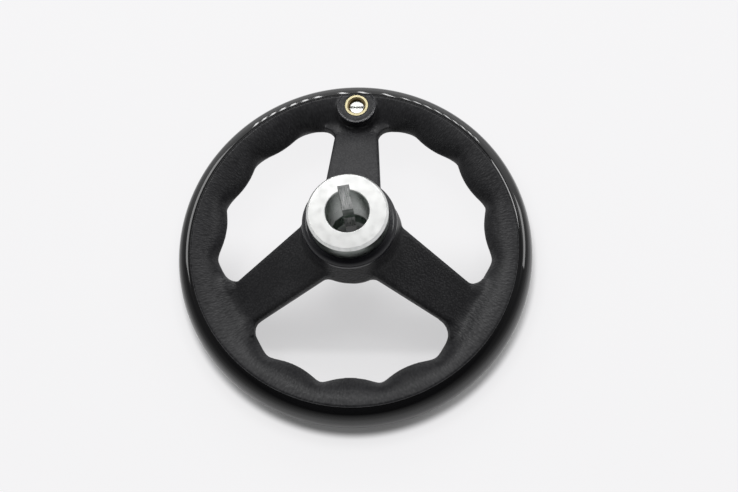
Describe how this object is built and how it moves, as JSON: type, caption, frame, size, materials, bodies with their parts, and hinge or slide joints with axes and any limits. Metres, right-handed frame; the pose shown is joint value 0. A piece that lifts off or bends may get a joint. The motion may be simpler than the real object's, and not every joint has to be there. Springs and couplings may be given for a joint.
{
  "type": "machine handwheel",
  "caption": "Dished handwheel with spokes, finger grips inside its rim, a keyed steel bush in the hub and a threaded brass insert for a crank handle.",
  "frame": {"origin": "on the shaft's axis, in the plane of the rim's flat ground face", "axes": "+Z along the shaft's axis, from the rim's ground face towards the hub's machine side; +Y from the shaft to the threaded insert for the handle; +X completes a right-handed frame"},
  "size_m": [0.2, 0.2, 0.0723],
  "materials": {
    "black_duroplast": "black phenolic moulding: fine leather grain on hub, spokes and grips, polished band round the rim",
    "bush_steel": "turned steel with a thin grey-green zinc coat",
    "insert_brass": "turned brass, dull",
    "screw_steel": "bright zinc-plated steel"
  },
  "bodies": {
    "root": {"wheel_body": "black_duroplast", "hub_bush": "bush_steel", "handle_insert": "insert_brass", "plug_screw": "screw_steel"}
  },
  "joints": []
}
